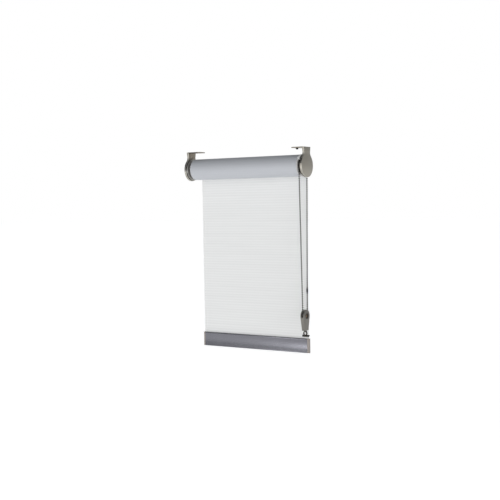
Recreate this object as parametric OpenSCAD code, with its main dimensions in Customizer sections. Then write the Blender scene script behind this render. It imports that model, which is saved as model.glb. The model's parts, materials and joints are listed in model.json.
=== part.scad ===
// Roller blind, fixed to a ceiling, with a bead-chain clutch drive at its right end, a sprung
// idler pin at its left end and a spring tensioner that holds the chain loop down.
// Millimetres. The origin is the middle of the ceiling face of the two brackets, straight above
// the roller's axis. +X runs along the roller to the chain, +Y to the window and +Z up.

/* [Cloth] */
// Width of the cloth
cloth_w = 352; // [280:1:600]
// Thickness of the cloth
cloth_t = 0.55; // [0.4:0.05:0.8]
// Height from the hem bar's top up to the roller's axis
cloth_drop = 482; // [400:1:900]
// Turns of cloth that stay on the tube
wraps = 4; // [2:1:6]

/* [Roller tube] */
// Outside diameter of the tube
tube_d = 56; // [46:0.5:68]
// Wall of the tube
tube_wall = 1.6; // [1.2:0.1:2.4]
// Length of bare tube past the cloth at each end
tube_over = 0.2; // [0.1:0.1:3]
// Height of the tube's inner drive ribs
rib_h = 2.4; // [1.5:0.1:3]
// Width of the tube's inner drive ribs
rib_w = 3; // [2:0.1:4]
// Diameter of the spline that holds the cloth in the tube
tube_spline_d = 2.6; // [2:0.1:3]

/* [Brackets] */
// Height from the roller's axis to the ceiling
axis_drop = 51; // [48:1:70]
// Reach of a cover's disc past the roll of cloth
cover_lip = 2.6; // [2:0.1:5]
// Width of a cover's neck at the waist
waist_w = 34; // [28:1:38]
// Width of a cover's neck at the ceiling
neck_w = 39; // [36:1:44]
// Radius of the hollow curve between disc and neck
blend_r = 18; // [12:1:20]
// Room inside a cover, between the steel plate and the lid
lid_gap = 1.5; // [1.5:0.1:6]
// Wall of a cover
cover_wall = 1.5; // [1.2:0.1:2]
// Thickness of the steel bracket
steel_t = 2.5; // [2:0.1:3.5]
// Length of the ceiling flange from the cover's outer face
flange_len = 42; // [38:1:60]
// Diameter of a ceiling screw hole
fix_hole_d = 5.2; // [4:0.1:6]
// Distance between the two ceiling screw holes of one bracket
fix_pitch = 22; // [18:1:24]
// Distance of the ceiling screw holes from the cover's outer face
fix_inset = 25; // [22:1:30]
// Diameter of the levelling screw
level_d = 4; // [3:0.5:5]
// Distance of the levelling screw from the cover's outer face
level_inset = 31; // [29:1:34]

/* [Chain and clutch] */
// Diameter of a bead
bead_d = 4.5; // [4:0.1:5]
// Distance from bead to bead
bead_pitch = 6; // [5.5:0.1:7]
// Diameter of the wire link between two beads
link_d = 1.2; // [1:0.1:1.5]
// Beads in the whole loop
beads = 157; // [120:1:240]
// Pockets round the chain wheel
pockets = 24; // [20:1:26]
// Width of the chain wheel
wheel_w = 5.4; // [5.4:0.1:7]
// Thickness of the inner chain guard disc
guard_t = 1; // [1:0.1:2]
// Thickness of the clutch core's back disc
back_t = 5.2; // [1:0.1:7]
// Diameter of the fixed clutch core
core_d = 24; // [20:0.5:26]
// Length of the clutch inside the tube
clutch_len = 32; // [28:1:50]
// Width across the flats of the core's square end
square_w = 12; // [10:0.5:14]
// Wrap springs on the core
wrap_springs = 4; // [2:1:4]

/* [Idler] */
// Diameter of the idler pin
idler_pin_d = 8; // [6:0.5:9]
// Distance that the idler pin can be pressed in
idler_travel = 9; // [8:0.5:10]
// Length of the idler housing inside the tube
idler_len = 44; // [42:1:60]

/* [Hem bar] */
// Height of the hem bar
hem_h = 41; // [34:1:60]
// Thickness of the hem bar
hem_t = 10; // [9:0.5:14]
// Wall of the hem bar
hem_wall = 1.4; // [1.2:0.1:2]
// Length of the hem bar with its end caps
hem_w = 355.6; // [284:0.1:604]
// Visible length of an end cap
cap_len = 5; // [3:0.5:8]
// Diameter of the hem spline
hem_spline_d = 3.4; // [3:0.1:4]

/* [Tensioner] */
// Diameter of the pulley at the middle of its beads
pulley_d = 26; // [22:0.5:28]
// Thickness of the tensioner
case_t = 11.5; // [10.5:0.5:14]
// Wall of the tensioner
case_wall = 1.6; // [1.4:0.1:2]
// Width of the tensioner's foot end
case_foot_w = 19; // [17:0.5:24]
// Height of the tensioner below its pulley's axle
case_foot_h = 40.5; // [40:0.5:55]
// Diameter of the sight hole over the pulley
sight_d = 16.5; // [14:0.5:20]
// Diameter of the pulley's axle
axle_d = 5; // [4:0.5:6]
// Diameter of the tension stem
stem_d = 3.6; // [3:0.1:4]
// Distance that the stem can be pulled out
stem_travel = 5; // [3:0.5:6]
// Width of the diamond link
link_w = 12.5; // [11:0.5:16]
// Height of the diamond link
link_h = 16; // [13:0.5:18]
// Length of the foot plate
foot_len = 21; // [19:0.5:28]
// Height of the foot plate
foot_h = 6; // [6:0.5:10]
// Distance between the two foot screws
foot_pitch = 15; // [14:0.5:20]
// Diameter of a foot screw
foot_screw_d = 3; // [2.5:0.1:3.5]

/* [Hidden] */
// Gap round a turning fit
run = 0.06;
// Gap round a fixed fit
seat = 0.1;
// Gap between faces that pass each other
pass = 0.4;
// Gap round a bead in its pocket, groove or clasp
bead_gap = 0.2;
// Extra length of a cut past a face
cut = 1;
// Side count of true circles
$fn = 64;

tube_r = tube_d / 2;
tube_in_r = tube_r - tube_wall;
roll_r = tube_r + wraps * cloth_t;
// Middle of the hanging cloth, which leaves the roll at its window side
cloth_y = roll_r + 0.05 + cloth_t / 2;

wheel_pitch_r = pockets * bead_pitch / (2 * PI);
wheel_rim = 0.5;
wheel_r = wheel_pitch_r + wheel_rim;
bridge_in_r = wheel_pitch_r + bead_d / 2 + 1.5;
guard_r = max(roll_r + 0.8, bridge_in_r + 2);
cover_r = max(roll_r + cover_lip, guard_r + 1.8);
// Centre of a cover's hollow curve from the axis
blend_y = waist_w / 2 + blend_r;
blend_z = sqrt(pow(cover_r + blend_r, 2) - blend_y * blend_y);
// Spread of the neck on each side for each mm of height
flare = (neck_w - waist_w) / 2 / (axis_drop - blend_z);

// Stations along +X, from the cloth out to the cover
x_cloth = cloth_w / 2;
x_tube = x_cloth + tube_over;
end_flange_t = 1;
x_plug = x_tube + end_flange_t;
x_guard = x_plug + pass;
x_wheel = x_guard + guard_t + bead_gap;
x_chain = x_wheel + wheel_w / 2;
x_back = x_wheel + wheel_w + bead_gap;
x_plate = x_back + back_t;
x_shell = x_plate + steel_t;
x_lid = x_shell + lid_gap;
x_out = x_lid + cover_wall;

// Clutch
plug_r = tube_in_r - seat;
plug_flange_r = tube_r + 1;
core_r = core_d / 2;
spring_in_r = core_r + run;
spring_out_r = spring_in_r + 1.6;
sleeve_in_r = spring_out_r + 0.5;
sleeve_out_r = sleeve_in_r + 1.8;
crown_in_r = sleeve_out_r + 0.4;
x_crown = x_tube - clutch_len;
crown_end_t = 4;
x_sleeve = x_crown + crown_end_t + 1;
retainer_t = 1.2;
retainer_bite = 1.1;
x_retainer = x_crown - pass - retainer_t;
x_core_end = x_retainer - 1.6;
clutch_screw_d = 5;
clutch_screw_len = 24;
clutch_head_d = 14;
clutch_head_h = 1.1;
square_proud = 0.2;
back_r = wheel_pitch_r - bead_d / 2 - 1.5;
spring_slot_w = 5;

// Idler
pin_r = idler_pin_d / 2;
collar_r = pin_r + 3;
collar_t = 3;
chamber_r = collar_r + 0.4;
idler_cap_t = 3;
idler_wall = 4;
x_idler_in = x_tube - idler_len;
x_chamber = x_idler_in + idler_wall;
x_collar = x_tube - idler_cap_t;
// The pin's tail stops short of the housing's wall when the pin is pressed all the way in
pin_tail = x_collar - collar_t - x_chamber - idler_travel - 3;
bush_r = pin_r + 2;
disc_t = 1.8;
x_disc = x_plug + 8;
hub_r = bush_r + 5;

// Chain loop: its pulley hangs where the bead count puts it
pulley_r = pulley_d / 2;
loop_len = beads * bead_pitch;
step_r = wheel_pitch_r - pulley_r;
function lean(drop) = asin(step_r / drop);
function loop_at(drop) = 2 * drop * cos(lean(drop)) + (180 + 2 * lean(drop)) * PI / 180 * wheel_pitch_r
    + (180 - 2 * lean(drop)) * PI / 180 * pulley_r;
function settle(drop, n) = n == 0 ? drop : settle(drop + (loop_len - loop_at(drop)) / 2, n - 1);
pulley_drop = settle(loop_len / 2, 8);
tilt = lean(pulley_drop);
strand = pulley_drop * cos(tilt);
wheel_half = (90 + tilt) * PI / 180 * wheel_pitch_r;
pulley_arc = (180 - 2 * tilt) * PI / 180 * pulley_r;
function on_circle(r, a, z) = [r * cos(a), z + r * sin(a)];
// A point of the loop as [y, z], at the distance s from the top of the wheel towards the window
function loop_point(s) =
    s < wheel_half ? on_circle(wheel_pitch_r, 90 - s / wheel_pitch_r * 180 / PI, 0)
    : s < wheel_half + strand ? on_circle(wheel_pitch_r, -tilt, 0)
        - (s - wheel_half) * [sin(tilt), cos(tilt)]
    : s < wheel_half + strand + pulley_arc ?
        on_circle(pulley_r, -tilt - (s - wheel_half - strand) / pulley_r * 180 / PI, -pulley_drop)
    : s < wheel_half + 2 * strand + pulley_arc ? on_circle(pulley_r, 180 + tilt, -pulley_drop)
        + (s - wheel_half - strand - pulley_arc) * [-sin(tilt), cos(tilt)]
    : on_circle(wheel_pitch_r, 90 + (loop_len - s) / wheel_pitch_r * 180 / PI, 0);
// The clasp sits on the window-side strand, over the two beads on either side of this one's end
clasp_bead = 63.5;
clasp_len = bead_pitch + bead_d + 1.6;
clasp_wall = 0.5;

// Tensioner, about its pulley's axle
z_pulley = -axis_drop - pulley_drop;
case_r = pulley_r + bead_d / 2 + 0.55 + case_wall;
case_x0 = x_chain - case_t / 2;
case_x1 = x_chain + case_t / 2;
case_bevel = 1;
pulley_rim_r = pulley_r + 1.6;
pulley_w = case_t - 2 * case_wall - 1;
bore_r = stem_d / 2 + 2.6;
bore_top = -pulley_r - bead_d / 2 - 2.6;
floor_t = 2.6;
stem_head_t = 2;
spring_wire_d = 1;
link_t = 2.6;
link_depth = 4;
stem_end_t = 1.2;
z_case_end = -case_foot_h;
z_link = z_case_end - 0.6;
z_link_mid = z_link - link_h / 2;
z_foot = z_link - link_h + 1.4;
plate_t = 2;

// Hem bar
z_hem = -axis_drop - cloth_drop;
hem_body_w = hem_w - 2 * cap_len;
hem_lip = 3.5;
hem_recess = 0.6;
hem_corner = 2.4;
slot_w = 1.8;
channel_r = hem_spline_d / 2 + cloth_t + 0.35;
z_channel = z_hem - hem_wall - channel_r - 0.8;
tongue = 12;

// ---- Shared shapes ----

// Moves a shape from the roller's axis to its place under the ceiling
module on_axis() {
    translate([0, 0, -axis_drop])
        children();
}

// Gives an outline in Y and Z a thickness along X
module slab(x0, x1) {
    translate([x0, 0, 0])
        rotate([90, 0, 90])
            linear_extrude(x1 - x0)
                children();
}

// A round bar or bore along X
module rod(x0, x1, r) {
    translate([x0, 0, 0])
        rotate([0, 90, 0])
            cylinder(h = x1 - x0, r = r);
}

module ring(x0, x1, r_out, r_in) {
    difference() {
        rod(x0, x1, r_out);
        rod(x0 - cut, x1 + cut, r_in);
    }
}

// A disc that runs up through a waist into a flared neck, inset by d and cut off at the height top
module pear(d, top) {
    meet_y = (cover_r - d) * blend_y / (cover_r + blend_r);
    top_y = waist_w / 2 - d + flare * (top - blend_z);
    circle(cover_r - d);
    difference() {
        translate([-meet_y, 0])
            square([2 * meet_y, blend_z]);
        for (side = [-1, 1])
            translate([side * blend_y, blend_z])
                circle(blend_r + d);
    }
    polygon([
        [-waist_w / 2 + d, blend_z], [waist_w / 2 - d, blend_z],
        [top_y, top], [-top_y, top]
    ]);
}

// An open coil along +Z from z = 0, with flat-cut ends
module coil(r, wire_d, height, turns) {
    sides = 6;
    steps = turns * 10;
    points = [
        for (i = [0 : steps], j = [0 : sides - 1])
            let (a = 360 * turns * i / steps, b = 360 * j / sides, q = r + wire_d / 2 * cos(b))
                [q * cos(a), q * sin(a), height * i / steps + wire_d / 2 * sin(b)]
    ];
    walls = [
        for (i = [0 : steps - 1], j = [0 : sides - 1])
            let (k = (j + 1) % sides)
                [i * sides + j, (i + 1) * sides + j, (i + 1) * sides + k, i * sides + k]
    ];
    polyhedron(
        points,
        concat([[for (j = [0 : sides - 1]) j]], walls,
            [[for (j = [sides - 1 : -1 : 0]) steps * sides + j]]),
        convexity = 10
    );
}

// A screw along -Z with its head's flat underside at z = 0
module pan_screw(d, len, head_d, head_h) {
    difference() {
        union() {
            cylinder(h = head_h, r = head_d / 2);
            translate([0, 0, -len])
                cylinder(h = len, r = d / 2);
        }
        translate([-head_d / 2 - cut, -0.4, head_h * 0.6])
            cube([head_d + 2 * cut, 0.8, head_h]);
    }
}

// ---- Brackets ----

// Steel angle: a pear-shaped plate and a flange that turns in under the ceiling
module bracket() {
    inset = cover_wall + seat;
    flange_w = neck_w - 2 * (inset + flare * steel_t);
    corner = 6;
    x_end = x_out - flange_len;
    bend = 2;
    slab(x_plate, x_shell)
        translate([0, -axis_drop])
            pear(inset, axis_drop);
    difference() {
        translate([0, 0, -steel_t])
            linear_extrude(steel_t) {
                translate([x_end + corner, -flange_w / 2])
                    square([x_plate + steel_t / 2 - x_end - corner, flange_w]);
                translate([x_end, -flange_w / 2 + corner])
                    square([corner + cut, flange_w - 2 * corner]);
                for (side = [-1, 1])
                    translate([x_end + corner, side * (flange_w / 2 - corner)])
                        circle(corner);
            }
        for (side = [-1, 1])
            translate([x_out - fix_inset, side * fix_pitch / 2, -steel_t - cut])
                cylinder(h = steel_t + 2 * cut, r = fix_hole_d / 2);
    }
    translate([0, flange_w / 2, 0])
        rotate([90, 0, 0])
            linear_extrude(flange_w)
                difference() {
                    translate([x_plate - bend, -steel_t - bend])
                        square([bend, bend]);
                    translate([x_plate - bend, -steel_t - bend])
                        circle(bend);
                }
}

// Two peg holes that the cover clips into, above and below the axis
function peg_places() = [cover_r + 4, -(cover_r - 8)];
peg_r = 2;

module peg_holes() {
    for (z = peg_places())
        on_axis()
            translate([0, 0, z])
                rod(x_plate - cut, x_shell + cut, peg_r + seat);
}

module left_bracket() {
    color("#8b887c")
        mirror([1, 0, 0])
            difference() {
                bracket();
                peg_holes();
                on_axis()
                    rod(x_plate - cut, x_shell + cut, bush_r);
            }
}

module right_bracket() {
    color("#8b887c")
        difference() {
            bracket();
            peg_holes();
            on_axis()
                translate([x_plate - cut, -square_w / 2 - seat, -square_w / 2 - seat])
                    cube([steel_t + 2 * cut, square_w + 2 * seat, square_w + 2 * seat]);
            translate([x_out - level_inset, 0, -steel_t - cut])
                cylinder(h = steel_t + 2 * cut, r = level_d / 2);
        }
}

// Shallow cap over the bracket's plate, closed at the ceiling and open to the roller
module cover() {
    top = axis_drop - 0.3;
    difference() {
        on_axis()
            slab(x_plate, x_out)
                pear(0, top);
        on_axis()
            slab(x_plate - cut, x_shell)
                pear(cover_wall, axis_drop + cut);
        on_axis()
            slab(x_shell - seat, x_lid)
                pear(cover_wall, top - cover_wall);
    }
    for (z = peg_places())
        on_axis()
            translate([0, 0, z])
                rod(x_plate + 0.5, x_lid + seat, peg_r);
}

module left_cover() {
    color("#a3a19b")
        mirror([1, 0, 0])
            cover();
}

module right_cover() {
    color("#8f8c80")
        cover();
}

level_head_d = 6.5;
level_head_h = 3.8;

module levelling_screw() {
    color("#2b2b2b")
        translate([x_out - level_inset, 0, -steel_t])
            rotate([180, 0, 0])
                pan_screw(level_d, steel_t - 0.2, level_head_d, level_head_h);
}

// ---- Clutch and chain drive ----

// Wedge about +Z that bounds the bridge over the chain wheel
module bridge_wedge(x0, x1) {
    half_angle = 55;
    far = 2 * guard_r;
    slab(x0, x1)
        polygon([[0, 0], [far * sin(half_angle), far * cos(half_angle)],
            [0, far], [-far * sin(half_angle), far * cos(half_angle)]]);
}

// Inner guard disc, and a bridge that closes the top of the chain wheel
module chain_guard() {
    color("#6d6b66")
        on_axis() {
            ring(x_guard, x_guard + guard_t, guard_r, sleeve_out_r + pass);
            intersection() {
                ring(x_guard + guard_t / 2, x_back, guard_r, bridge_in_r);
                bridge_wedge(x_guard, x_back + cut);
            }
        }
}

// Fixed spindle with its back disc, the shoulder behind the bridge and the square end that stops it turning
module clutch_core() {
    color("#4c4b49")
        on_axis()
            difference() {
                union() {
                    rod(x_core_end, x_back, core_r);
                    rod(x_back, x_plate, back_r);
                    intersection() {
                        rod(x_back, x_plate, guard_r);
                        bridge_wedge(x_back - cut, x_plate + cut);
                    }
                    translate([x_plate, -square_w / 2, -square_w / 2])
                        cube([steel_t + square_proud, square_w, square_w]);
                }
                rod(x_crown, x_shell + square_proud + cut, clutch_screw_d / 2 + seat);
                ring(x_retainer - seat, x_retainer + retainer_t + seat, core_r + cut,
                    core_r - retainer_bite - seat);
            }
}

module clutch_screw() {
    color("#b9b9b6")
        on_axis()
            translate([x_shell + square_proud, 0, 0])
                rotate([0, 90, 0])
                    pan_screw(clutch_screw_d, clutch_screw_len, clutch_head_d, clutch_head_h);
}

module clutch_retainer() {
    color("#3a3a3a")
        on_axis()
            ring(x_retainer, x_retainer + retainer_t, core_r + 2.4, core_r - retainer_bite);
}

// Close-wound springs that grip the core until the chain wheel opens them
module clutch_springs() {
    width = 4.4;
    coils = 4;
    coil_w = width / coils;
    notch = 0.25;
    comb = [
        for (i = [0 : coils - 1])
            each [[spring_out_r - notch, i * coil_w], [spring_out_r, (i + 0.3) * coil_w],
                [spring_out_r, (i + 0.7) * coil_w]],
        [spring_out_r - notch, width], [spring_in_r, width], [spring_in_r, 0]
    ];
    color("#5c5c5e")
        on_axis()
            for (i = [0 : wrap_springs - 1])
                translate([x_sleeve + 0.8 + i * (width + 0.4), 0, 0])
                    rotate([0, 90, 0])
                        rotate_extrude()
                            polygon(comb);
}

// Grooves in a plug for the tube's inner ribs
module rib_slots(x0, x1) {
    for (a = [0, 120, 240])
        rotate([a, 0, 0])
            translate([x0, -rib_w / 2 - seat, tube_in_r - rib_h - seat])
                cube([x1 - x0, rib_w + 2 * seat, rib_h + 2]);
    rotate([180, 0, 0])
        translate([0, 0, spline_z])
            rod(x0, x1, spline_boss_r + seat);
}

// Driven crown: it fills the tube's end, turns on the core and is keyed to the wheel's sleeve
module drive_crown() {
    color("#5a5956")
        on_axis()
            difference() {
                union() {
                    difference() {
                        rod(x_crown, x_tube, plug_r);
                        rib_slots(x_crown - cut, x_tube);
                    }
                    rod(x_tube, x_plug, plug_flange_r);
                }
                difference() {
                    rod(x_crown + crown_end_t, x_plug + cut, crown_in_r);
                    translate([x_sleeve + 1, -spring_slot_w / 2 + 0.3, spring_out_r + 0.6])
                        cube([x_tube - x_sleeve - 3, spring_slot_w - 0.6, crown_in_r]);
                }
                rod(x_crown - cut, x_plug + cut, core_r + run);
            }
}

// Wheel with a pocket for each bead, and the slotted sleeve that opens the springs
module chain_wheel() {
    color("#3f3e3d")
        on_axis()
            difference() {
                union() {
                    rod(x_wheel, x_wheel + wheel_w, wheel_r);
                    rod(x_sleeve, x_wheel + 0.1, sleeve_out_r);
                }
                rod(x_sleeve - cut, x_wheel, sleeve_in_r);
                rod(x_wheel - cut, x_wheel + wheel_w + cut, core_r + run);
                translate([x_sleeve - cut, -spring_slot_w / 2, 0])
                    cube([x_tube - x_sleeve, spring_slot_w, sleeve_out_r + cut]);
                ring(x_chain - link_d / 2 - 0.4, x_chain + link_d / 2 + 0.4, wheel_r + cut,
                    wheel_pitch_r - link_d / 2 - 0.5);
                for (i = [0 : pockets - 1])
                    rotate([i * 360 / pockets, 0, 0])
                        translate([x_chain, 0, wheel_pitch_r]) {
                            sphere(bead_d / 2 + bead_gap);
                            cylinder(h = wheel_rim + 1, r1 = bead_d / 2 + bead_gap,
                                r2 = bead_d / 2 + 3 * bead_gap);
                        }
            }
}

module bead_chain() {
    color("#4a4945")
        on_axis()
            for (i = [0 : beads - 1])
                let (
                    here = loop_point(i * bead_pitch),
                    there = loop_point(((i + 1) % beads) * bead_pitch),
                    way = there - here
                )
                    translate([x_chain, here[0], here[1]]) {
                        sphere(bead_d / 2);
                        rotate([atan2(-way[0], way[1]), 0, 0])
                            cylinder(h = norm(way), r = link_d / 2);
                    }
}

// Clasp that joins the ends of the chain, closed round two beads
module chain_clasp() {
    middle = loop_point(clasp_bead * bead_pitch);
    color("#2f2e2c")
        on_axis()
            translate([x_chain, middle[0], middle[1]])
                rotate([-tilt, 0, 0])
                    difference() {
                        cylinder(h = clasp_len, r = bead_d / 2 + bead_gap + clasp_wall, center = true);
                        cylinder(h = clasp_len - 2 * clasp_wall, r = bead_d / 2 + bead_gap,
                            center = true);
                        cylinder(h = clasp_len + cut, r = link_d / 2 + bead_gap, center = true);
                    }
}

// ---- Idler end, drawn at the right and mirrored ----

module idler_housing() {
    color("#74726d")
        on_axis()
            mirror([1, 0, 0])
                difference() {
                    union() {
                        difference() {
                            rod(x_idler_in, x_tube, plug_r);
                            rib_slots(x_idler_in - cut, x_tube);
                        }
                        rod(x_tube, x_plug, plug_flange_r);
                    }
                    rod(x_chamber, x_plug + cut, chamber_r);
                    rod(x_idler_in - cut, x_chamber + cut, pin_r - 1 + seat);
                    rod(x_collar, x_plug + cut, chamber_r + 3);
                }
}

module idler_cap() {
    color("#3c3b3a")
        on_axis()
            mirror([1, 0, 0])
                ring(x_collar, x_plug, chamber_r + 3 - seat, pin_r + run);
}

module idler_pin() {
    color("#c9c9c6")
        on_axis()
            mirror([1, 0, 0]) {
                rod(x_collar - collar_t, x_shell + 0.8, pin_r);
                rod(x_collar - collar_t, x_collar - 0.02, collar_r);
                rod(x_collar - collar_t - pin_tail, x_collar - collar_t, pin_r - 1);
            }
}

module idler_spring() {
    base = x_chamber + 0.6;
    height = x_collar - collar_t - base - 0.6;
    color("#7d7d7f")
        on_axis()
            mirror([1, 0, 0])
                translate([base, 0, 0])
                    rotate([0, 90, 0])
                        coil(pin_r + 1.4, spring_wire_d, height, 8);
}

module idler_disc() {
    color("#b4b3af")
        on_axis()
            mirror([1, 0, 0]) {
                ring(x_disc, x_disc + disc_t, guard_r, bush_r);
                ring(x_disc + disc_t - 0.1, x_plate, hub_r, bush_r);
            }
}

module bracket_bush() {
    color("#e6e4dc")
        on_axis()
            mirror([1, 0, 0])
                difference() {
                    union() {
                        rod(x_disc, x_shell, bush_r);
                        rod(x_shell, x_shell + 1.2, bush_r + 2);
                    }
                    rod(x_disc - cut, x_shell + 1.2 + cut, pin_r + run);
                }
}

// ---- Roller ----

spline_boss_r = tube_spline_d / 2 + 2;
spline_z = tube_r - spline_boss_r;

// Extruded tube with three drive ribs and a channel for the cloth's spline
module roller_tube() {
    color("#b9bdc0")
        on_axis()
            difference() {
                union() {
                    ring(-x_tube, x_tube, tube_r, tube_in_r);
                    for (a = [0, 120, 240])
                        rotate([a, 0, 0])
                            translate([-x_tube, -rib_w / 2, tube_in_r - rib_h])
                                cube([2 * x_tube, rib_w, rib_h + tube_wall / 2]);
                    rotate([180, 0, 0])
                        translate([0, 0, spline_z])
                            rod(-x_tube, x_tube, spline_boss_r);
                }
                rotate([180, 0, 0])
                    translate([-x_tube - cut, 0, spline_z]) {
                        rod(0, 2 * x_tube + 2 * cut, tube_spline_d / 2 + seat);
                        translate([0, -0.8, 0])
                            cube([2 * x_tube + 2 * cut, 1.6, spline_boss_r + cut]);
                    }
            }
}

module tube_spline() {
    color("#d9d7cf")
        on_axis()
            rotate([180, 0, 0])
                translate([0, 0, spline_z])
                    rod(-x_cloth, x_cloth, tube_spline_d / 2);
}

module cloth_roll() {
    color("#b7babd")
        on_axis()
            ring(-x_cloth, x_cloth, roll_r, tube_r + 0.02);
}

module cloth_panel() {
    bottom = z_channel + hem_spline_d / 2 + 0.3;
    color("#e9e8e4")
        translate([-x_cloth, cloth_y - cloth_t / 2, bottom])
            cube([cloth_w, cloth_t, -axis_drop - bottom]);
}

// ---- Hem bar ----

// Round-cornered outline of the bar, inset by d, with its faces hollowed between two lips
module hem_outline(d) {
    corner = max(hem_corner - d, 0.4);
    half_t = hem_t / 2 - d;
    translate([cloth_y, z_hem])
        difference() {
            union() {
                translate([-half_t, -hem_h + d + corner])
                    square([2 * half_t, hem_h - 2 * d - 2 * corner]);
                translate([-half_t + corner, -hem_h + d])
                    square([2 * half_t - 2 * corner, hem_h - 2 * d]);
                for (y = [-half_t + corner, half_t - corner], z = [-d - corner, -hem_h + d + corner])
                    translate([y, z])
                        circle(corner);
            }
            for (side = [-1, 1])
                translate([side * (hem_t / 2 - d + 2 - hem_recess), -hem_h / 2])
                    square([4, hem_h - 2 * hem_lip - 2 * d], center = true);
        }
}

// The channel for the spline and the slot that the cloth goes up through
module cloth_room() {
    translate([cloth_y, z_channel])
        circle(channel_r);
    translate([cloth_y - slot_w / 2, z_channel])
        square([slot_w, z_hem - z_channel + cut]);
}

module hem_bar() {
    half = hem_body_w / 2;
    floor_z = z_channel - channel_r - hem_wall;
    color("#8c8d93")
        slab(-half, half)
            difference() {
                hem_outline(0);
                difference() {
                    hem_outline(hem_wall);
                    translate([cloth_y - hem_t / 2, floor_z])
                        square([hem_t, z_hem - floor_z]);
                }
                cloth_room();
            }
}

module hem_spline() {
    color("#cfcdc6")
        translate([0, cloth_y, z_channel])
            rod(-hem_body_w / 2, hem_body_w / 2, hem_spline_d / 2);
}

// End cap with a hollow tongue that plugs the bar's chamber
module hem_cap() {
    half = hem_body_w / 2;
    chamber_top = z_channel - channel_r - hem_wall;
    chamber_bottom = z_hem - hem_h + hem_wall;
    tongue_t = hem_t - 2 * hem_wall - 2 * hem_recess - 2 * seat;
    tongue_h = chamber_top - chamber_bottom - 2 * hem_lip;
    difference() {
        slab(half, half + cap_len)
            hem_outline(0);
        slab(half - cut, max(x_cloth + pass, half))
            cloth_room();
    }
    difference() {
        translate([half - tongue, cloth_y - tongue_t / 2, chamber_bottom + hem_lip])
            cube([tongue + cut, tongue_t, tongue_h]);
        translate([half - tongue - cut, cloth_y - tongue_t / 2 + 1, chamber_bottom + hem_lip + 1])
            cube([tongue, tongue_t - 2, tongue_h - 2]);
    }
}

module hem_cap_left() {
    color("#938f8e")
        mirror([1, 0, 0])
            hem_cap();
}

module hem_cap_right() {
    color("#938f8e")
        hem_cap();
}

// ---- Chain tensioner, drawn about its pulley's axle ----

module at_pulley() {
    translate([0, 0, z_pulley])
        children();
}

// Round head that runs down in two straight sides to a narrower foot, inset by d
module case_outline(d) {
    r = case_r - d;
    foot_y = case_foot_w / 2 - d;
    foot_z = z_case_end + d;
    meet = atan2(foot_z, foot_y) + acos(r / norm([foot_y, foot_z]));
    circle(r);
    polygon([
        [r * cos(meet), r * sin(meet)], [foot_y, foot_z],
        [-foot_y, foot_z], [-r * cos(meet), r * sin(meet)]
    ]);
}

// Screws that hold the two halves together, beside the stem's bore
case_screw_d = 2;
case_screw_places = [[-bore_r - 2.4, bore_top - 1], [bore_r + 2.4, bore_top - 1]];

// What is hollow inside both halves: the pulley's room, the chain's way in, the stem's bore
module case_hollow() {
    mouth = bead_d + 2 * bead_gap + 0.8;
    room_x0 = case_x0 + case_wall;
    room_x1 = case_x1 - case_wall;
    rod(room_x0, room_x1, case_r - case_wall);
    for (side = [-1, 1])
        rotate([side * tilt, 0, 0])
            translate([x_chain - mouth / 2, side > 0 ? pulley_r - mouth / 2 : -case_r - cut, -4])
                cube([mouth, case_r - pulley_r + mouth / 2 + cut, case_r + 6]);
    translate([x_chain, 0, z_case_end + floor_t])
        cylinder(h = bore_top - z_case_end - floor_t, r = min(bore_r, case_t / 2 - 1.2));
    translate([x_chain, 0, z_case_end - cut])
        cylinder(h = floor_t + 2 * cut, r = stem_d / 2 + run);
}

// The outer half runs from the chain's plane to +X and has the sight hole
module tensioner_outer_case() {
    color("#85847e")
        at_pulley()
            difference() {
                union() {
                    hull() {
                        slab(x_chain, case_x1 - case_bevel)
                            case_outline(0, $fn = 48);
                        slab(case_x1 - case_bevel, case_x1)
                            case_outline(case_bevel, $fn = 48);
                    }
                    rod(case_x1 - case_wall, case_x1 + 0.5, sight_d / 2 + 1.4);
                }
                case_hollow();
                rod(x_chain, case_x1 + cut, sight_d / 2);
                for (p = case_screw_places)
                    translate([0, p[0], p[1]])
                        rod(x_chain - cut, case_x1 - 1.4, case_screw_d / 2);
            }
}

module tensioner_inner_case() {
    color("#85847e")
        at_pulley()
            difference() {
                union() {
                    hull() {
                        slab(case_x0 + case_bevel, x_chain)
                            case_outline(0, $fn = 48);
                        slab(case_x0, case_x0 + case_bevel)
                            case_outline(case_bevel, $fn = 48);
                    }
                }
                case_hollow();
                rod(case_x0 - cut, x_chain, axle_d / 2);
                for (p = case_screw_places)
                    translate([0, p[0], p[1]]) {
                        rod(case_x0 - cut, x_chain + cut, case_screw_d / 2);
                        rod(case_x0 - cut, case_x0 + 1.2, case_screw_d / 2 + 1);
                    }
            }
}

module tensioner_pulley() {
    color("#2a2826")
        at_pulley()
            difference() {
                rod(x_chain - pulley_w / 2, x_chain + pulley_w / 2, pulley_rim_r);
                rod(x_chain - pulley_w / 2 - cut, x_chain + pulley_w / 2 + cut, axle_d / 2 + run);
                translate([x_chain, 0, 0])
                    rotate([0, 90, 0])
                        rotate_extrude()
                            translate([pulley_r, 0]) {
                                circle(bead_d / 2 + bead_gap);
                                translate([0, -bead_d / 2 - bead_gap])
                                    square([pulley_rim_r, bead_d + 2 * bead_gap]);
                            }
            }
}

module tensioner_axle() {
    head_x = x_chain + pulley_w / 2 + 0.2;
    color("#d8d6d0")
        at_pulley() {
            rod(case_x0, head_x, axle_d / 2);
            rod(head_x, head_x + 1, axle_d / 2 + 1.2);
        }
}

module tensioner_case_screws() {
    color("#8a8a88")
        at_pulley()
            for (p = case_screw_places)
                translate([case_x0 + 1.2, p[0], p[1]])
                    rotate([0, -90, 0])
                        pan_screw(case_screw_d - 0.02, case_t - 3, case_screw_d + 1.6, 1);
}

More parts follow.
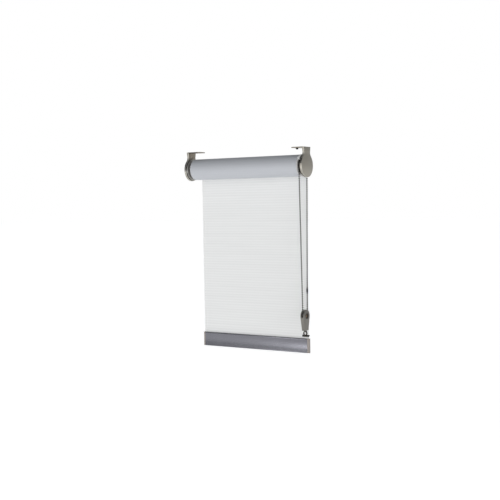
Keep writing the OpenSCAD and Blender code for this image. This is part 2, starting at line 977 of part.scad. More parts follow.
// Stem: a head inside the case, a rod down through its floor and a riveted end in the link
module tensioner_stem() {
    head_z = bore_top - 1;
    end_z = z_link - link_t - 1;
    color("#c2c1bc")
        at_pulley()
            translate([x_chain, 0, 0]) {
                translate([0, 0, head_z - stem_head_t])
                    cylinder(h = stem_head_t, r = min(bore_r, case_t / 2 - 1.2) - 0.3);
                translate([0, 0, end_z])
                    cylinder(h = head_z - end_z, r = stem_d / 2);
                translate([0, 0, end_z - stem_end_t])
                    cylinder(h = stem_end_t + 0.1, r = stem_d / 2 + 0.7);
            }
}

module tensioner_spring() {
    base = z_case_end + floor_t + 0.6;
    top = bore_top - 1 - stem_head_t - 0.6;
    turns = floor((top - base - stem_travel) / (2 * spring_wire_d));
    color("#7d7d7f")
        at_pulley()
            translate([x_chain, 0, base])
                coil(stem_d / 2 + 0.9, spring_wire_d, top - base, turns);
}

// Flat strap bent into a diamond, with a hole for the stem at its top corner
module tensioner_link() {
    half_w = link_w / 2;
    half_h = link_h / 2;
    flat = 3.2;
    color("#32302e")
        at_pulley()
            translate([x_chain, 0, z_link_mid])
                difference() {
                    rotate([90, 0, 0])
                        linear_extrude(link_depth, center = true)
                            difference() {
                                polygon([[flat, half_h], [half_w, 0], [flat, -half_h],
                                    [-flat, -half_h], [-half_w, 0], [-flat, half_h]]);
                                polygon([[flat - 0.8, half_h - link_t], [half_w - link_t, 0],
                                    [flat - 0.8, -half_h + 2 * link_t], [-flat + 0.8, -half_h + 2 * link_t],
                                    [-half_w + link_t, 0], [-flat + 0.8, half_h - link_t]]);
                            }
                    cylinder(h = link_h, r = stem_d / 2 + seat);
                    translate([0, 0, z_foot - z_link_mid])
                        rotate([90, 0, 0])
                            cylinder(h = 2 * link_depth, r = rivet_r, center = true);
                }
}

rivet_r = 1.1;
foot_y = link_depth / 2;
foot_neck_r = foot_screw_d / 2 + 0.4;
foot_thread = 6;
foot_head_d = 5.4;
foot_head_h = 2.2;

// Rivet through the link's lower corner into the foot plate
module link_rivet() {
    color("#32302e")
        at_pulley()
            translate([x_chain, 0, z_foot])
                rotate([90, 0, 0]) {
                    translate([0, 0, -foot_y - plate_t])
                        cylinder(h = 2 * foot_y + plate_t, r = rivet_r);
                    translate([0, 0, foot_y])
                        cylinder(h = 1, r = rivet_r + 1);
                }
}

module tensioner_foot() {
    corner = 2;
    color("#32302e")
        at_pulley()
            translate([x_chain, foot_y + plate_t, z_foot])
                rotate([90, 0, 0])
                    difference() {
                        linear_extrude(plate_t) {
                            square([foot_len, foot_h - 2 * corner], center = true);
                            square([foot_len - 2 * corner, foot_h], center = true);
                            for (x = [-1, 1], z = [-1, 1])
                                translate([x * (foot_len / 2 - corner), z * (foot_h / 2 - corner)])
                                    circle(corner);
                        }
                        for (side = [-1, 1])
                            translate([side * foot_pitch / 2, 0, -cut])
                                cylinder(h = plate_t + 2 * cut, r = foot_neck_r + seat);
                        translate([0, 0, -cut])
                            cylinder(h = plate_t + 2 * cut, r = rivet_r);
                    }
}

// Screws with a plain neck through the plate and a thinner thread behind it
module foot_screws() {
    color("#1f1f1f")
        at_pulley()
            for (side = [-1, 1])
                translate([x_chain + side * foot_pitch / 2, foot_y, z_foot])
                    rotate([90, 0, 0]) {
                        pan_screw(foot_screw_d, plate_t + foot_thread, foot_head_d, foot_head_h);
                        translate([0, 0, -plate_t])
                            cylinder(h = plate_t, r = foot_neck_r);
                    }
}

left_bracket();
right_bracket();
left_cover();
right_cover();
levelling_screw();
chain_guard();
clutch_core();
clutch_screw();
clutch_retainer();
clutch_springs();
drive_crown();
chain_wheel();
idler_housing();
idler_cap();
idler_pin();
idler_spring();
idler_disc();
bracket_bush();
roller_tube();
tube_spline();
cloth_roll();
cloth_panel();
hem_bar();
hem_spline();
hem_cap_left();
hem_cap_right();
bead_chain();
chain_clasp();
tensioner_outer_case();
tensioner_inner_case();
tensioner_pulley();
tensioner_axle();
tensioner_case_screws();
tensioner_stem();
tensioner_spring();
tensioner_link();
link_rivet();
tensioner_foot();
foot_screws();
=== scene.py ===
"""The looks of a ceiling-fixed roller blind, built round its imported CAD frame.

Everything is in metres in the frame of the CAD model: +X along the roller to the chain,
+Y to the window and +Z up, with the ceiling at z = 0.
"""

import json
import math
import random

import bmesh
import bpy
from mathutils import Matrix, Vector, noise


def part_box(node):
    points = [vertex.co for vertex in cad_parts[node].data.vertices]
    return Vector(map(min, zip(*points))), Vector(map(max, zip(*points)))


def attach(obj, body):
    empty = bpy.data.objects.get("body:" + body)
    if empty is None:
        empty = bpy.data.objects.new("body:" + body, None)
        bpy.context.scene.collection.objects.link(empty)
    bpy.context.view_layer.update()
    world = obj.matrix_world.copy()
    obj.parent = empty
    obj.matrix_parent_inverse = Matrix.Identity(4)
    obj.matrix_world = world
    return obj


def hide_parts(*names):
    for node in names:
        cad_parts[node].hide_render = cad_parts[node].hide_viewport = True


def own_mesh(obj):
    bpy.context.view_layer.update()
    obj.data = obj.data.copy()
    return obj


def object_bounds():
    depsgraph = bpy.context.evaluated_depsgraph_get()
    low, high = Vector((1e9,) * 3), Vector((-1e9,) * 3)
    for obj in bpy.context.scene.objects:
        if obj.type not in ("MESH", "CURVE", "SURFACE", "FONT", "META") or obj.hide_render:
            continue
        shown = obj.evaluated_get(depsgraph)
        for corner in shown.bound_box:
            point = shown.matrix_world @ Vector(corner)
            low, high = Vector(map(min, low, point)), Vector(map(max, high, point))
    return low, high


MM = 0.001

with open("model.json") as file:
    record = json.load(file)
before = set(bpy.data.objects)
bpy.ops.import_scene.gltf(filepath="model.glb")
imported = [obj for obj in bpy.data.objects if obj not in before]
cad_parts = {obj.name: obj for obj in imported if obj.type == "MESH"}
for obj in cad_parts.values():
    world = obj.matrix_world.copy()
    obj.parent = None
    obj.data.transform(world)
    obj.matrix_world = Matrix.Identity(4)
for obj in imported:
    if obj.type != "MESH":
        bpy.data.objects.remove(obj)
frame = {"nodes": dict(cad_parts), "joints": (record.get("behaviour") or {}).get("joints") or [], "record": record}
CAD_BOX = [list(map(float, corner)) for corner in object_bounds()]


# ---- Sizes, read from the CAD frame ----


def box_of(node):
    low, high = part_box(node)
    return Vector(low), Vector(high)


ROLL_LOW, ROLL_HIGH = box_of("cloth_roll")
AXIS_Z = (ROLL_LOW.z + ROLL_HIGH.z) / 2
ROLL_R = (ROLL_HIGH.z - ROLL_LOW.z) / 2
TUBE_LOW, TUBE_HIGH = box_of("roller_tube")
TUBE_R = (TUBE_HIGH.z - TUBE_LOW.z) / 2
PANEL_LOW, PANEL_HIGH = box_of("cloth_panel")
CLOTH_T = PANEL_HIGH.y - PANEL_LOW.y
CLOTH_W = PANEL_HIGH.x - PANEL_LOW.x
TURNS = round((ROLL_R - TUBE_R) / CLOTH_T)
TURN_GAP = 0.02 * MM

CHAIN_LOW, CHAIN_HIGH = box_of("bead_chain")
BEAD_R = (CHAIN_HIGH.x - CHAIN_LOW.x) / 2
CHAIN_X = (CHAIN_HIGH.x + CHAIN_LOW.x) / 2
WHEEL_R = CHAIN_HIGH.z - BEAD_R - AXIS_Z
PULLEY_LOW, PULLEY_HIGH = box_of("tensioner_pulley")
PULLEY_Z = (PULLEY_LOW.z + PULLEY_HIGH.z) / 2
PULLEY_RIM_PROUD = 1.6 * MM
PULLEY_R = (PULLEY_HIGH.z - PULLEY_LOW.z) / 2 - PULLEY_RIM_PROUD
STRAND_LEAN = math.asin((WHEEL_R - PULLEY_R) / (AXIS_Z - PULLEY_Z))
BEADS = 157
LINK_R = 0.6 * MM
RIB_PITCH = 2.0 * MM
RIB_HEIGHT = 0.05 * MM
BAND_MM = 7.4


# ---- Camera, light and floor ----


def add_camera():
    """The camera stands low, to the right of the blind and in front of it."""
    place = Vector((1.422, -2.270, AXIS_Z - 0.1037))
    turn, tilt, roll = (math.radians(a) for a in (31.96, -2.79, -0.98))
    ahead = Vector((-math.sin(turn) * math.cos(tilt), math.cos(turn) * math.cos(tilt), math.sin(tilt)))
    level = Vector((math.cos(turn), math.sin(turn), 0))
    over = level.cross(ahead)
    right = level * math.cos(roll) + over * math.sin(roll)
    up = over * math.cos(roll) - level * math.sin(roll)
    data = bpy.data.cameras.new("camera")
    data.sensor_width = 36
    data.lens = 67.6
    camera = bpy.data.objects.new("camera", data)
    bpy.context.collection.objects.link(camera)
    camera.matrix_world = Matrix.Translation(place) @ Matrix((right, up, -ahead)).transposed().to_4x4()
    bpy.context.scene.camera = camera


def add_light(name, place, aim, size, watts, colour=(1, 1, 1)):
    data = bpy.data.lights.new(name, "AREA")
    data.size = size
    data.energy = watts
    data.color = colour
    light = bpy.data.objects.new(name, data)
    bpy.context.collection.objects.link(light)
    light.location = place
    light.visible_camera = False
    light.rotation_euler = (Vector(aim) - Vector(place)).to_track_quat("-Z", "Y").to_euler()


def add_world():
    """A white room: full white to the eye, a little dimmer overhead as light."""
    world = bpy.data.worlds.new("white_room")
    world.use_nodes = True
    bpy.context.scene.world = world
    nodes, links = world.node_tree.nodes, world.node_tree.links
    nodes.clear()
    output = nodes.new("ShaderNodeOutputWorld")
    mix = nodes.new("ShaderNodeMixShader")
    seen = nodes.new("ShaderNodeBackground")
    seen.inputs["Color"].default_value = (1, 1, 1, 1)
    lit = nodes.new("ShaderNodeBackground")
    ramp = nodes.new("ShaderNodeValToRGB")
    ramp.color_ramp.elements[0].position = 0.42
    ramp.color_ramp.elements[0].color = (1, 1, 1, 1)
    ramp.color_ramp.elements[1].position = 0.80
    ramp.color_ramp.elements[1].color = (0.40, 0.41, 0.42, 1)
    way = nodes.new("ShaderNodeTexCoord")
    split = nodes.new("ShaderNodeSeparateXYZ")
    height = nodes.new("ShaderNodeMapRange")
    height.inputs["From Min"].default_value = -1
    path = nodes.new("ShaderNodeLightPath")
    links.new(way.outputs["Generated"], split.inputs[0])
    links.new(split.outputs["Z"], height.inputs["Value"])
    links.new(height.outputs[0], ramp.inputs[0])
    links.new(ramp.outputs[0], lit.inputs["Color"])
    lit.inputs["Strength"].default_value = 0.70
    links.new(path.outputs["Is Camera Ray"], mix.inputs[0])
    links.new(lit.outputs[0], mix.inputs[1])
    links.new(seen.outputs[0], mix.inputs[2])
    links.new(mix.outputs[0], output.inputs[0])


def add_floor():
    level = CAD_BOX[0][2] - 0.45
    half = 40
    mesh = bpy.data.meshes.new("floor")
    corners = [(-half, -half, level), (half, -half, level), (half, half, level), (-half, half, level)]
    mesh.from_pydata(corners, [], [(0, 1, 2, 3)])
    floor = bpy.data.objects.new("floor", mesh)
    bpy.context.collection.objects.link(floor)
    paint = Paint("pale_floor", (0.86, 0.86, 0.86), roughness=0.9)
    paint.set("Emission Color", (1, 1, 1, 1))
    paint.set("Emission Strength", 0.72)
    floor.data.materials.append(paint.material)


# ---- Materials ----


class Number:
    """A number in a material. Plain operators on it add the Math nodes."""

    def __init__(self, paint, socket):
        self.paint = paint
        self.socket = socket

    def maths(self, operation, *values):
        return self.paint.node("ShaderNodeMath", {"operation": operation}, dict(enumerate(values)))

    def __add__(self, other):
        return self.maths("ADD", self, other)

    def __sub__(self, other):
        return self.maths("SUBTRACT", self, other)

    def __mul__(self, other):
        return self.maths("MULTIPLY", self, other)

    __radd__ = __add__
    __rmul__ = __mul__

    def sine(self):
        return self.maths("SINE", self)

    def above(self, level, soft):
        """0 below the level and 1 above it, over a soft step."""
        return self.paint.node(
            "ShaderNodeMapRange",
            {"interpolation_type": "SMOOTHSTEP"},
            {"Value": self, "From Min": level - soft, "From Max": level + soft},
        )


class Paint:
    """One material: a Principled shader, and the nodes that feed it."""

    def __init__(self, name, colour, roughness=0.5, metallic=0.0):
        self.material = bpy.data.materials.new(name)
        self.material.use_nodes = True
        self.tree = self.material.node_tree
        self.tree.nodes.clear()
        self.shader = self.tree.nodes.new("ShaderNodeBsdfPrincipled")
        output = self.tree.nodes.new("ShaderNodeOutputMaterial")
        self.tree.links.new(self.shader.outputs[0], output.inputs[0])
        self.colour = (*colour, 1)
        self.set("Base Color", self.colour)
        self.set("Roughness", roughness)
        self.set("Metallic", metallic)
        self.material.diffuse_color = self.colour

    def feed(self, socket, value):
        if isinstance(value, Number):
            self.tree.links.new(value.socket, socket)
        else:
            socket.default_value = value

    def set(self, name, value):
        self.feed(self.shader.inputs[name], value)

    def node(self, kind, settings=None, inputs=None, output=0):
        made = self.tree.nodes.new(kind)
        for name, value in (settings or {}).items():
            setattr(made, name, value)
        for name, value in (inputs or {}).items():
            self.feed(made.inputs[name], value)
        return Number(self, made.outputs[output])

    def place(self):
        """X, Y and Z on the piece, in millimetres."""
        where = self.node("ShaderNodeTexCoord", output="Object")
        return [self.node("ShaderNodeSeparateXYZ", None, {0: where}, output=i) * 1000 for i in range(3)]

    def grain(self, x, y, z, detail=3.0):
        """Noise with that many waves per metre along each axis."""
        where = self.node("ShaderNodeTexCoord", output="Object")
        spread = self.node("ShaderNodeMapping", None, {"Vector": where, "Scale": (x, y, z)})
        return self.node("ShaderNodeTexNoise", None, {"Vector": spread, "Scale": 1.0, "Detail": detail})

    def tint(self, amount, low, high):
        """The base colour, from low to high times itself as amount goes from 0 to 1."""
        shade = [(*(c * k for c in self.colour[:3]), 1) for k in (low, high)]
        mixed = self.node("ShaderNodeMix", {"data_type": "RGBA"}, {0: amount, 6: shade[0], 7: shade[1]}, output=2)
        self.set("Base Color", mixed)
        return mixed

    def relief(self, height, depth):
        """Bumps of that depth, in metres."""
        bump = self.node("ShaderNodeBump", None, {"Height": height, "Distance": depth, "Strength": 1.0})
        self.set("Normal", bump)


def brushed(name, colour, along, roughness=0.36, contrast=0.10, metallic=1.0):
    """Metal with fine scratches along one axis and faint handling marks."""
    waves = {"x": (14, 2600, 2600), "z": (2600, 2600, 14)}[along]
    paint = Paint(name, colour, metallic=metallic)
    lines = paint.grain(*waves, detail=2.0)
    marks = paint.grain(28, 28, 28, detail=4.0)
    paint.tint(lines * 0.6 + marks * 0.4, 1 - contrast, 1 + contrast)
    paint.set("Roughness", roughness - 0.09 + lines * 0.12 + marks * 0.08)
    paint.relief(lines, 0.012 * MM)
    return paint.material


def moulded(name, colour, roughness=0.5, grain=1900):
    """Plastic with a fine spark-eroded texture."""
    paint = Paint(name, colour)
    spark = paint.grain(grain, grain, grain, detail=1.0)
    cloud = paint.grain(30, 30, 30)
    paint.tint(spark * 0.4 + cloud * 0.6, 0.93, 1.07)
    paint.set("Roughness", roughness - 0.06 + spark * 0.12)
    paint.relief(spark, 0.02 * MM)
    return paint.material


def polished(name, colour, roughness=0.2, metallic=1.0):
    """Plated or bright steel with small stains and scuffs."""
    paint = Paint(name, colour, metallic=metallic)
    stain = paint.grain(160, 160, 160, detail=4.0)
    scuff = paint.grain(900, 900, 900, detail=2.0)
    paint.tint(stain, 0.82, 1.15)
    paint.set("Roughness", roughness - 0.04 + scuff * 0.14)
    return paint.material


def woven(name, colour, metallic, roughness, round_roll, contrast):
    """Screen cloth: coated yarns in a plain weave, with faint bands of thicker weft."""
    warp_mm, weft_mm = 1.1, RIB_PITCH / MM
    paint = Paint(name, colour, metallic=metallic)
    x, y, z = paint.place()
    if round_roll:
        along = (z - AXIS_Z / MM).maths("ARCTAN2", z - AXIS_Z / MM, y) * (ROLL_R / MM)
    else:
        along = z
    warp = (x * (2 * math.pi / warp_mm)).sine()
    weft = (along * (2 * math.pi / weft_mm)).sine()
    yarns = warp * weft * 0.5 + 0.5
    slub = paint.grain(5, 140, 140, detail=3.0)
    fibre = paint.grain(900, 900, 900, detail=2.0)
    bands = ((along + slub * 3.0) * (2 * math.pi / BAND_MM)).sine() * 0.5 + 0.5
    shade = bands * 0.45 + slub.above(0.5, 0.22) * 0.25 + yarns * 0.15 + fibre * 0.15
    paint.tint(shade, 1 - contrast, 1 + contrast)
    paint.set("Roughness", roughness + yarns * 0.08)
    paint.relief(yarns * 0.7 + fibre * 0.3, 0.05 * MM)
    return paint.material


MATERIALS = {
    "bracket_steel": brushed("satin_bracket_steel", (0.26, 0.232, 0.188), "z", 0.38),
    "cover_satin": brushed("satin_cover", (0.34, 0.32, 0.277), "z", 0.34),
    "dark_screw": polished("black_oxide", (0.03, 0.03, 0.03), 0.35),
    "guard_grey": moulded("grey_nylon", (0.78, 0.78, 0.78), 0.5),
    "core_dark": moulded("dark_nylon", (0.06, 0.06, 0.06)),
    "zinc": polished("zinc_plate", (0.50, 0.50, 0.48), 0.3),
    "spring_steel": polished("spring_steel", (0.22, 0.22, 0.23), 0.3),
    "black_plastic": moulded("black_acetal", (0.030, 0.019, 0.012), 0.30),
    "pin_steel": polished("polished_pin", (0.62, 0.62, 0.60), 0.15),
    "disc_light": polished("satin_disc", (0.42, 0.41, 0.39), 0.3),
    "bush_white": moulded("natural_nylon", (0.78, 0.76, 0.70), 0.45),
    "tube_alu": brushed("mill_tube", (0.60, 0.61, 0.62), "x", 0.32),
    "spline_pvc": moulded("white_pvc", (0.74, 0.73, 0.68), 0.45),
    "cloth_back": woven("silver_cloth_back", (0.47, 0.485, 0.515), 0.2, 0.55, False, 0.02),
    "cloth_face": woven("white_cloth_face", (0.80, 0.805, 0.80), 0.0, 0.75, False, 0.05),
    "hem_alu": brushed("anodised_hem", (0.175, 0.175, 0.195), "x", 0.24, 0.07),
    "cap_grey": moulded("warm_grey_cap", (0.325, 0.29, 0.268), 0.45),
    "chain_dark": polished("dark_nickel", (0.030, 0.029, 0.027), 0.28),
    "clasp_dark": polished("burnished_clasp", (0.018, 0.018, 0.017), 0.3),
    "case_satin": brushed("satin_case", (0.182, 0.176, 0.16), "z", 0.42, 0.06, 0.85),
    "axle_bright": polished("bronzed_axle", (0.16, 0.11, 0.065), 0.2),
    "link_dark": polished("dark_link", (0.035, 0.032, 0.028), 0.36),
}
LINK_WIRE = polished("bright_link_wire", (0.62, 0.61, 0.58), 0.2)
# A brighter copy of the cover metal for the cover bevels: a painted edge highlight.
COVER_EDGE_HIGHLIGHT = polished("painted_highlight_cover_edge", (0.80, 0.80, 0.77), 0.2)
# A dark copy of the cover metal for part of the cover side wall: painted shade.
COVER_SIDE_SHADE = brushed("painted_shade_cover_side", (0.10, 0.095, 0.085), "x", 0.42)
ROLL_BACK = woven("silver_cloth_roll", (0.47, 0.485, 0.515), 0.2, 0.55, True, 0.02)


# ---- Making pieces ----


def new_piece(name, mesh, body, slot, node=None, materials=None):
    """A finished piece: it rides on a body, takes a slot's finish and may stand for a CAD node."""
    piece = bpy.data.objects.new(name, mesh)
    bpy.context.collection.objects.link(piece)
    kinds = [face.material_index for face in mesh.polygons]
    mesh.materials.clear()
    for material in materials or [MATERIALS[slot]]:
        mesh.materials.append(material)
    mesh.polygons.foreach_set("material_index", kinds)
    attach(piece, body)
    if node:
        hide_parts(node)
    return piece


def mesh_from(name, points, faces, smooth=True):
    mesh = bpy.data.meshes.new(name)
    mesh.from_pydata(points, [], faces)
    mesh.polygons.foreach_set("use_smooth", [smooth] * len(mesh.polygons))
    mesh.update()
    return mesh


def modified(mesh, name, kind, **settings):
    """The mesh with one modifier applied to it."""
    holder = bpy.data.objects.new(name + "_holder", mesh)
    bpy.context.collection.objects.link(holder)
    modifier = holder.modifiers.new(kind.lower(), kind)
    for key, value in settings.items():
        setattr(modifier, key, value)
    graph = bpy.context.evaluated_depsgraph_get()
    made = bpy.data.meshes.new_from_object(holder.evaluated_get(graph))
    made.name = name
    bpy.data.objects.remove(holder)
    return made


def body_of(node):
    for body, nodes in frame["record"]["behaviour"]["bodies"].items():
        if node in nodes:
            return body
    raise ValueError(node)


def slot_of(node):
    for part in frame["record"]["subparts"]:
        if part["node"] == node:
            return part["material_slot"]
    raise ValueError(node)


def travel_of(joint):
    """A sliding joint's full travel."""
    return next(j for j in frame["joints"] if j["name"] == joint)["range_m"][1]


def softened(node, width, painted_light_finishes=None, shade_band_from=0.0):
    """A copy of a CAD node with its sharp edges rounded over. If two more finishes are given, the rounding takes a
    brighter copy of the metal as a painted edge highlight, and part of the side wall takes a dark copy as painted
    shade.
    """
    work = bmesh.new()
    work.from_mesh(frame["nodes"][node].data)
    bmesh.ops.remove_doubles(work, verts=work.verts, dist=1e-6)
    bmesh.ops.dissolve_limit(
        work, angle_limit=math.radians(0.6), verts=work.verts, edges=work.edges, use_dissolve_boundaries=False
    )
    mesh = bpy.data.meshes.new(node + "_soft")
    work.to_mesh(mesh)
    work.free()
    mesh = modified(
        mesh, node + "_soft", "BEVEL", width=width, segments=2, limit_method="ANGLE",
        angle_limit=math.radians(34), use_clamp_overlap=True, harden_normals=False,
    )
    mesh.polygons.foreach_set("use_smooth", [True] * len(mesh.polygons))
    mesh.set_sharp_from_angle(angle=math.radians(32))
    materials = [MATERIALS[slot_of(node)]]
    if painted_light_finishes:
        materials += painted_light_finishes
        # Bevel faces take the painted highlight. Side-wall faces between the given height and 20 mm over the axis
        # take the painted shade.
        kinds = [
            int(abs(f.normal.x) < 0.97) if abs(f.normal.x) > 0.2
            else 2 * int(shade_band_from < f.center.z < AXIS_Z + 20 * MM)
            for f in mesh.polygons
        ]
        mesh.polygons.foreach_set("material_index", kinds)
    return new_piece(node + "_edged", mesh, body_of(node), slot_of(node), node, materials)


def coil_spring(node, press, axis):
    """A spring copied onto its body in its CAD shape. The joint's travel is read, but nothing shortens the spring.
    """
    ends = box_of(node)
    piece = new_piece(node + "_coil", frame["nodes"][node].data.copy(), body_of(node), slot_of(node), node)
    length = (ends[1] - ends[0]).dot(Vector(axis))
    keep = 1 - travel_of(press) / length
    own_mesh(piece)


def lathe(profile, axis_point, axis, sides):
    """Points and faces of a closed profile of (along, radius) pairs turned about an axis."""
    turn = Vector((0, 0, 1)).rotation_difference(Vector(axis)).to_matrix()
    points, faces = [], []
    for i in range(sides):
        a = 2 * math.pi * i / sides
        for along, radius in profile:
            local = Vector((radius * math.cos(a), radius * math.sin(a), along))
            points.append(Vector(axis_point) + turn @ local)
    n = len(profile)
    for i in range(sides):
        j = (i + 1) % sides
        for k in range(n):
            m = (k + 1) % n
            faces.append((i * n + k, j * n + k, j * n + m, i * n + m))
    return points, faces


def outward(mesh):
    work = bmesh.new()
    work.from_mesh(mesh)
    bmesh.ops.remove_doubles(work, verts=work.verts, dist=1e-7)
    bmesh.ops.recalc_face_normals(work, faces=work.faces)
    work.to_mesh(mesh)
    work.free()
    return mesh


# ---- Cloth ----


def hanging_cloth():
    """The cloth from the roll down into the hem bar: ribbed, nearly flat, white to the room."""
    middle = (PANEL_LOW.y + PANEL_HIGH.y) / 2
    height = PANEL_HIGH.z - PANEL_LOW.z
    rows = round(height / (RIB_PITCH / 4))
    columns = 22
    feather = 4 * MM
    plain_hem = 14 * MM

    def lean(u, s):
        """How far the cloth's middle strays in Y, u from -1 to 1 across and s up from the hem."""
        slack = math.sin(math.pi * s / height) ** 2
        wave = noise.noise(Vector((u * 1.7, s * 5.0, 3.1))) * 0.45 * MM
        curl = -math.exp(-(1 - abs(u)) * CLOTH_W / 2 / (9 * MM)) * 0.5 * MM
        return slack * (wave + curl)

    points, faces, kinds = [], [], []
    for side in (-1, 1):
        for r in range(rows + 1):
            s = height * r / rows
            thin = min(1.0, (height - s) / feather) * 0.85 + 0.15
            rib = math.sin(2 * math.pi * s / RIB_PITCH) * RIB_HEIGHT if s > plain_hem else 0
            off = CLOTH_T / 2 * thin
            if side < 0 or thin == 1.0:
                off += rib - RIB_HEIGHT
            for c in range(columns + 1):
                u = 2 * c / columns - 1
                points.append((u * CLOTH_W / 2, middle + lean(u, s) + side * off, PANEL_LOW.z + s))
    across = columns + 1
    back = (rows + 1) * across
    for r in range(rows):
        for c in range(columns):
            a = r * across + c
            faces.append((a, a + 1, a + 1 + across, a + across))
            kinds.append(0)
            faces.append((back + a, back + a + across, back + a + 1 + across, back + a + 1))
            kinds.append(1)
    for r in range(rows):
        for c in (0, columns):
            a = r * across + c
            faces.append((a, a + across, back + a + across, back + a))
            kinds.append(0)
    for r in (0, rows):
        for c in range(columns):
            a = r * across + c
            faces.append((a, back + a, back + a + 1, a + 1))
            kinds.append(0)
    mesh = mesh_from("hanging_cloth", points, faces)
    mesh.polygons.foreach_set("material_index", kinds)
    outward(mesh)
    piece = new_piece(
        "hanging_cloth", mesh, "root", "cloth_face", "cloth_panel",
        [MATERIALS["cloth_face"], MATERIALS["cloth_back"]],
    )
    mesh.set_sharp_from_angle(angle=math.radians(50))
    keep = 1 - travel_of("hem_lift") / height
    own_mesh(piece)


def wound_cloth():
    """The turns on the tube, each a closed layer whose edge wanders a little."""
    ribs = round(2 * math.pi * ROLL_R / RIB_PITCH)
    drift = random.Random(4)
    points, faces, kinds = [], [], []
    for turn in range(TURNS):
        outermost = turn == TURNS - 1
        inner = TUBE_R + TURN_GAP + turn * CLOTH_T
        outer = inner + CLOTH_T - 2 * TURN_GAP
        sides = ribs * 4 if outermost else 96
        end = CLOTH_W / 2 - (0 if outermost else drift.uniform(0.05, 0.35) * MM)
        start = len(points)
        for i in range(sides):
            a = 2 * math.pi * i / sides
            rib = math.sin(a * ribs) * RIB_HEIGHT - RIB_HEIGHT if outermost else 0
            for x, r in ((-end, inner), (end, inner), (end, outer + rib), (-end, outer + rib)):
                points.append((x, r * math.cos(a), AXIS_Z + r * math.sin(a)))
        for i in range(sides):
            j = (i + 1) % sides
            for k in range(4):
                m = (k + 1) % 4
                faces.append((start + i * 4 + k, start + i * 4 + m, start + j * 4 + m, start + j * 4 + k))
                kinds.append(1 if k == 2 else 0)
    mesh = mesh_from("wound_cloth", points, faces)
    mesh.polygons.foreach_set("material_index", kinds)
    outward(mesh)
    mesh.set_sharp_from_angle(angle=math.radians(50))
    piece = new_piece(
        "wound_cloth", mesh, "roller", "cloth_back", "cloth_roll", [MATERIALS["cloth_face"], ROLL_BACK]
    )


# ---- Bead chain ----


def chain_loop():
    """The chain's centreline: round the wheel, down to the pulley and back, from the wheel's top."""
    steps = 90
    quarter = math.pi / 2

    def arc(radius, height, first, last):
        for i in range(steps + 1):
            a = first + (last - first) * i / steps
            yield (CHAIN_X, radius * math.cos(a), height + radius * math.sin(a))

    points = list(arc(WHEEL_R, AXIS_Z, quarter, -STRAND_LEAN))
    points += arc(PULLEY_R, PULLEY_Z, -STRAND_LEAN, STRAND_LEAN - 2 * quarter)
    points += arc(WHEEL_R, AXIS_Z, STRAND_LEAN + 2 * quarter, quarter)
    return points[:-1]


def add_inputs(tree, rows):
    for name, kind, value in rows:
        socket = tree.interface.new_socket(name, in_out="INPUT", socket_type=kind)
        if value is not None:
            socket.default_value = value


def chain_tree():
    """Beads at equal steps along a loop, each with a rolled collar, on straight wire links."""
    tree = bpy.data.node_groups.new("bead_chain_maker", "GeometryNodeTree")
    add_inputs(tree, [
        ("Geometry", "NodeSocketGeometry", None), ("Beads", "NodeSocketInt", BEADS),
        ("Bead Radius", "NodeSocketFloat", BEAD_R), ("Link Radius", "NodeSocketFloat", LINK_R),
        ("Collar Radius", "NodeSocketFloat", 1.05 * MM), ("Collar Proud", "NodeSocketFloat", 0.12 * MM),
        ("Bead Material", "NodeSocketMaterial", None), ("Link Material", "NodeSocketMaterial", None),
    ])
    tree.interface.new_socket("Geometry", in_out="OUTPUT", socket_type="NodeSocketGeometry")
    nodes, links = tree.nodes, tree.links

    def node(kind, inputs=None, **settings):
        made = nodes.new(kind)
        for key, value in settings.items():
            setattr(made, key, value)
        for key, value in (inputs or {}).items():
            if isinstance(value, bpy.types.NodeSocket):
                links.new(value, made.inputs[key])
            else:
                made.inputs[key].default_value = value
        return made

    given = nodes.new("NodeGroupInput").outputs
    spots = node("GeometryNodeCurveToPoints", {"Curve": given["Geometry"], "Count": given["Beads"]}, mode="COUNT")
    ball = node("GeometryNodeMeshUVSphere", {"Segments": 12, "Rings": 8, "Radius": given["Bead Radius"]})
    reach = node("ShaderNodeMath", {0: given["Bead Radius"], 1: given["Collar Proud"]}, operation="ADD")
    depth = node("ShaderNodeMath", {0: reach.outputs[0], 1: 2.0}, operation="MULTIPLY")
    collar = node(
        "GeometryNodeMeshCylinder",
        {"Vertices": 8, "Radius": given["Collar Radius"], "Depth": depth.outputs[0]},
    )
    bead = node("GeometryNodeJoinGeometry")
    links.new(ball.outputs["Mesh"], bead.inputs[0])
    links.new(collar.outputs["Mesh"], bead.inputs[0])
    smooth = node("GeometryNodeSetShadeSmooth", {0: bead.outputs[0]})
    beads = node(
        "GeometryNodeInstanceOnPoints",
        {"Points": spots.outputs["Points"], "Instance": smooth.outputs[0], "Rotation": spots.outputs["Rotation"]},
    )
    bars = node("GeometryNodeResampleCurve", {"Curve": given["Geometry"], "Count": given["Beads"]}, mode="COUNT")
    wire = node("GeometryNodeCurvePrimitiveCircle", {"Resolution": 8, "Radius": given["Link Radius"]})
    links_made = node(
        "GeometryNodeCurveToMesh", {"Curve": bars.outputs[0], "Profile Curve": wire.outputs[0]}
    )
    real = node("GeometryNodeRealizeInstances", {0: beads.outputs[0]})
    both = node("GeometryNodeJoinGeometry")
    for made, finish in ((real, "Bead Material"), (links_made, "Link Material")):
        painted = node("GeometryNodeSetMaterial", {"Geometry": made.outputs[0], "Material": given[finish]})
        links.new(painted.outputs[0], both.inputs[0])
    links.new(both.outputs[0], nodes.new("NodeGroupOutput").inputs[0])
    return tree


def grown(name, source, tree, **values):
    """The plain mesh that a tree makes from a source object."""
    modifier = source.modifiers.new("maker", "NODES")
    modifier.node_group = tree
    for socket in tree.interface.items_tree:
        if socket.item_type == "SOCKET" and socket.in_out == "INPUT" and socket.name in values:
            modifier[socket.identifier] = values[socket.name]
    source.update_tag()
    graph = bpy.context.evaluated_depsgraph_get()
    mesh = bpy.data.meshes.new_from_object(source.evaluated_get(graph))
    mesh.name = name
    bpy.data.objects.remove(source)
    return mesh


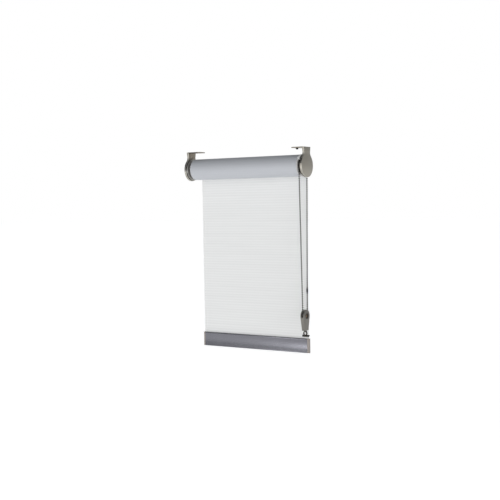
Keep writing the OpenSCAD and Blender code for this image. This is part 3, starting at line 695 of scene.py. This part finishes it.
def bead_chain():
    data = bpy.data.curves.new("chain_loop", "CURVE")
    data.dimensions = "3D"
    route = chain_loop()
    spline = data.splines.new("POLY")
    spline.points.add(len(route) - 1)
    for point, place in zip(spline.points, route):
        point.co = (*place, 1)
    spline.use_cyclic_u = True
    source = bpy.data.objects.new("chain_loop", data)
    bpy.context.collection.objects.link(source)
    finishes = {"Bead Material": MATERIALS["chain_dark"], "Link Material": LINK_WIRE}
    mesh = grown("bead_chain_beads", source, chain_tree(), **finishes)
    new_piece("bead_chain_beads", mesh, "root", "chain_dark", "bead_chain", list(mesh.materials))


def chain_clasp():
    """Barrel clasp with rolled ends and a waist line, over two beads."""
    low, high = box_of("chain_clasp")
    centre = (low + high) / 2
    outer = (high.x - low.x) / 2
    wall = 0.5 * MM
    half = (high.z - low.z) / 2 - outer * math.sin(STRAND_LEAN)
    hole = LINK_R + 0.25 * MM
    profile = [
        (-half, hole), (-half, outer - 1.1 * MM), (-half + 0.3 * MM, outer - 0.45 * MM),
        (-half + 0.9 * MM, outer - 0.08 * MM), (-half + 1.3 * MM, outer), (-0.7 * MM, outer),
        (-0.4 * MM, outer - 0.3 * MM), (0.4 * MM, outer - 0.3 * MM), (0.7 * MM, outer),
        (half - 1.3 * MM, outer), (half - 0.9 * MM, outer - 0.08 * MM),
        (half - 0.3 * MM, outer - 0.45 * MM), (half, outer - 1.1 * MM), (half, hole),
        (half - wall, hole), (half - wall, outer - wall), (-half + wall, outer - wall), (-half + wall, hole),
    ]
    points, faces = lathe(profile, centre, (0, math.sin(STRAND_LEAN), math.cos(STRAND_LEAN)), 28)
    mesh = outward(mesh_from("clasp_barrel", points, faces))
    mesh.set_sharp_from_angle(angle=math.radians(40))
    new_piece("clasp_barrel", mesh, "clasp", "clasp_dark", "chain_clasp")


# ---- The blind ----

add_camera()
bead_chain()
chain_clasp()
wound_cloth()
EDGES = {
    "left_bracket": 0.25, "right_bracket": 0.25, "left_cover": 1.2, "right_cover": 1.2,
    "hem_bar": 0.35, "hem_cap_left": 0.6, "hem_cap_right": 0.6,
    "tensioner_outer_case": 0.45, "tensioner_inner_case": 0.45,
    "chain_guard": 0.3, "idler_disc": 0.4, "tensioner_link": 0.3, "tensioner_foot": 0.4,
    "foot_screws": 0.35, "levelling_screw": 0.4, "tensioner_axle": 0.3,
}
# Lowest height of the painted shade band on each cover's side wall. The band ends 20 mm over the axis.
PAINTED_SHADE_BAND_FROM = {"left_cover": AXIS_Z - 5 * MM, "right_cover": AXIS_Z + 5 * MM}
for cad_node, edge in EDGES.items():
    if cad_node in PAINTED_SHADE_BAND_FROM:
        softened(cad_node, edge * MM, [COVER_EDGE_HIGHLIGHT, COVER_SIDE_SHADE], PAINTED_SHADE_BAND_FROM[cad_node])
    else:
        softened(cad_node, edge * MM)
coil_spring("idler_spring", "idler_pin_press", (1, 0, 0))
coil_spring("tensioner_spring", "stem_pull", (0, 0, 1))
hanging_cloth()
for cad_node, thing in frame["nodes"].items():
    thing.data.materials.clear()
    thing.data.materials.append(MATERIALS[slot_of(cad_node)])

add_world()
add_floor()
add_light("key", (-0.9, -2.7, 0.7), (0, 0, -0.3), 1.8, 10)
add_light("front_panel", (-0.62, -2.3, -0.85), (0, 0, -0.5), 0.75, 9)
add_light("side", (2.8, -0.5, -0.1), (0.1, 0, -0.3), 1.4, 7)
bpy.context.scene.view_settings.view_transform = "Standard"
